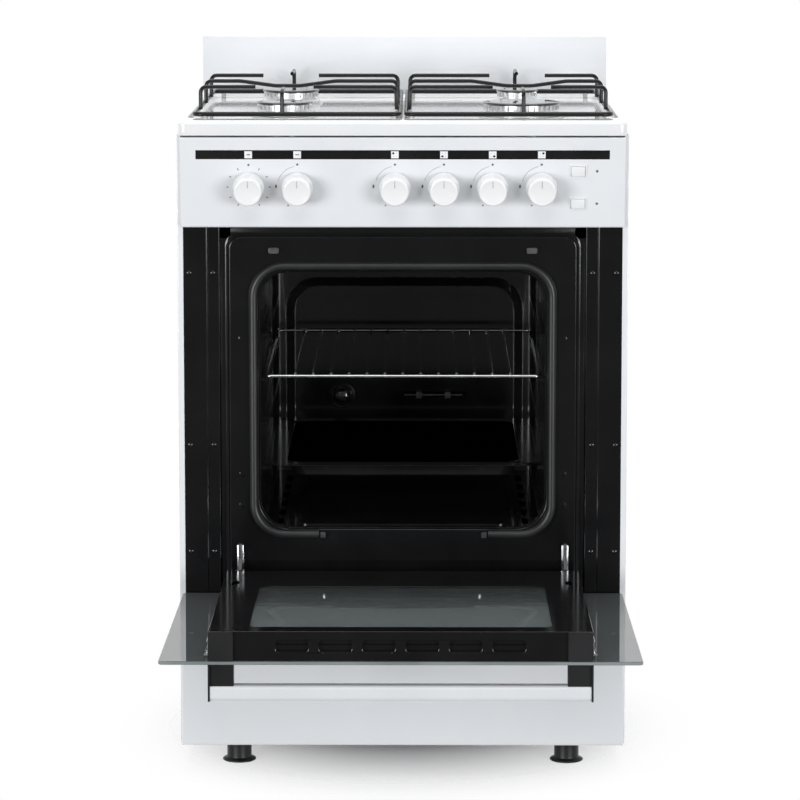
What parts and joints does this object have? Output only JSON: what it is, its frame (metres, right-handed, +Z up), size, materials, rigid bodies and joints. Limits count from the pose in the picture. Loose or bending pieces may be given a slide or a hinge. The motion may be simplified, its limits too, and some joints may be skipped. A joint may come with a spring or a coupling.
{
  "type": "freestanding gas range",
  "caption": "Freestanding gas range: enamelled cabinet, four-burner hob with wire pan supports, knob fascia, drop-down glass oven door shown open, rack, tray and storage drawer.",
  "frame": {"origin": "centre of the overall box at floor level, with the oven door open as modelled", "axes": "+X to the right of a person facing the range, +Y from its front to its back, +Z up"},
  "size_m": [0.55, 0.9506, 0.886],
  "materials": {
    "white_enamel": "gloss stove enamel",
    "black_enamel": "gloss stove enamel",
    "zinc_steel": "bright zinc plate",
    "galvanised": "galvanised sheet",
    "chrome_wire": "bright chrome",
    "burner_alloy": "satin cast aluminium",
    "brass": "turned",
    "seal_rubber": "silicone, grey",
    "white_plastic": "moulded gloss",
    "black_plastic": "moulded matt",
    "smoked_glass": "toughened, reflective grey",
    "window_glass": "toughened, dark border",
    "lamp_glass": "clear heat-proof",
    "ceramic_white": "unglazed porcelain",
    "wool_wrap": "mineral wool"
  },
  "bodies": {
    "cabinet": {"base_pan": "galvanised", "body_screws": "zinc_steel", "burner_caps": "black_enamel", "burner_crowns": "burner_alloy", "burner_cups": "burner_alloy", "button_bezels": "white_plastic", "control_fascia": "white_enamel", "door_catches": "zinc_steel", "door_gasket": "seal_rubber", "drawer_runners": "galvanised", "front_columns": "black_enamel", "gas_injectors": "brass", "gas_inlet": "galvanised", "gas_rail": "galvanised", "gas_taps": "burner_alloy", "gasket_clips": "zinc_steel", "hinge_arms": "zinc_steel", "hob_gas_pipes": "galvanised", "hob_top": "white_enamel", "ignition_module": "black_plastic", "levelling_feet": "black_plastic", "minute_timer": "galvanised", "oven_burner_tube": "galvanised", "oven_floor_plate": "black_enamel", "oven_front_frame": "black_enamel", "oven_insulation": "wool_wrap", "oven_lamp": "lamp_glass", "oven_liner": "black_enamel", "rack_guides": "black_enamel", "rear_panel": "galvanised", "rear_upstand": "white_enamel", "side_panel_left": "white_enamel", "side_panel_right": "white_enamel", "spark_electrodes": "ceramic_white", "switch_bodies": "black_plastic", "tap_stems": "galvanised", "thermostat_phial": "zinc_steel"},
    "door": {"door_outer_glass": "smoked_glass", "door_inner_glass": "window_glass", "door_liner": "black_enamel", "door_top_blocks": "black_plastic", "door_hinge_cases": "zinc_steel", "door_side_strips": "zinc_steel", "handle_bar": "white_enamel", "handle_brackets": "black_plastic"},
    "rack": {"wire_rack": "chrome_wire"},
    "tray": {"baking_tray": "black_enamel"},
    "drawer": {"drawer_front": "white_enamel", "drawer_box": "galvanised"},
    "support_left": {"pan_support_left": "black_enamel"},
    "support_right": {"pan_support_right": "black_enamel"},
    "timer_knob": {"knob_timer": "white_plastic"},
    "oven_knob": {"knob_oven": "white_plastic"},
    "front_left_knob": {"knob_front_left": "white_plastic"},
    "rear_left_knob": {"knob_rear_left": "white_plastic"},
    "rear_right_knob": {"knob_rear_right": "white_plastic"},
    "front_right_knob": {"knob_front_right": "white_plastic"},
    "lamp_button": {"button_lamp": "white_plastic"},
    "ignition_button": {"button_ignition": "white_plastic"}
  },
  "joints": [
    {"name": "door_hinge", "type": "hinge", "parent": "cabinet", "child": "door", "pos_m": [0, -0.04769, 0.247], "axis": [-1, 0, 0], "range_deg": [0, 88.4]},
    {"name": "rack_slide", "type": "slide", "parent": "cabinet", "child": "rack", "axis": [0, 1, 0], "range_m": [-0.3, 0]},
    {"name": "tray_slide", "type": "slide", "parent": "cabinet", "child": "tray", "axis": [0, 1, 0], "range_m": [-0.3, 0]},
    {"name": "drawer_slide", "type": "slide", "parent": "cabinet", "child": "drawer", "axis": [0, 1, 0], "range_m": [-0.32, 0]},
    {"name": "support_left_lift", "type": "slide", "parent": "cabinet", "child": "support_left", "axis": [0, 0, -1], "range_m": [-0.06, 0]},
    {"name": "support_right_lift", "type": "slide", "parent": "cabinet", "child": "support_right", "axis": [0, 0, -1], "range_m": [-0.06, 0]},
    {"name": "timer_knob_turn", "type": "hinge", "parent": "cabinet", "child": "timer_knob", "pos_m": [-0.1863, -0.05687, 0.7268], "axis": [0, -0.9898, -0.1427], "range_deg": [-330, 0]},
    {"name": "oven_knob_turn", "type": "hinge", "parent": "cabinet", "child": "oven_knob", "pos_m": [-0.1272, -0.05687, 0.7268], "axis": [0, -0.9898, -0.1427], "range_deg": [0, 153]},
    {"name": "rear_left_knob_turn", "type": "hinge", "parent": "cabinet", "child": "rear_left_knob", "pos_m": [-0.0093, -0.05687, 0.7268], "axis": [0, -0.9898, -0.1427], "range_deg": [0, 153]},
    {"name": "front_left_knob_turn", "type": "hinge", "parent": "cabinet", "child": "front_left_knob", "pos_m": [0.0499, -0.05687, 0.7268], "axis": [0, -0.9898, -0.1427], "range_deg": [0, 153]},
    {"name": "front_right_knob_turn", "type": "hinge", "parent": "cabinet", "child": "front_right_knob", "pos_m": [0.1087, -0.05687, 0.7268], "axis": [0, -0.9898, -0.1427], "range_deg": [0, 153]},
    {"name": "rear_right_knob_turn", "type": "hinge", "parent": "cabinet", "child": "rear_right_knob", "pos_m": [0.1679, -0.05687, 0.7268], "axis": [0, -0.9898, -0.1427], "range_deg": [0, 153]},
    {"name": "lamp_button_press", "type": "slide", "parent": "cabinet", "child": "lamp_button", "axis": [0, 0.9898, 0.1427], "range_m": [0, 0.0025], "stiffness_N_per_m": 300},
    {"name": "ignition_button_press", "type": "slide", "parent": "cabinet", "child": "ignition_button", "axis": [0, 0.9898, 0.1427], "range_m": [0, 0.0025], "stiffness_N_per_m": 300}
  ]
}
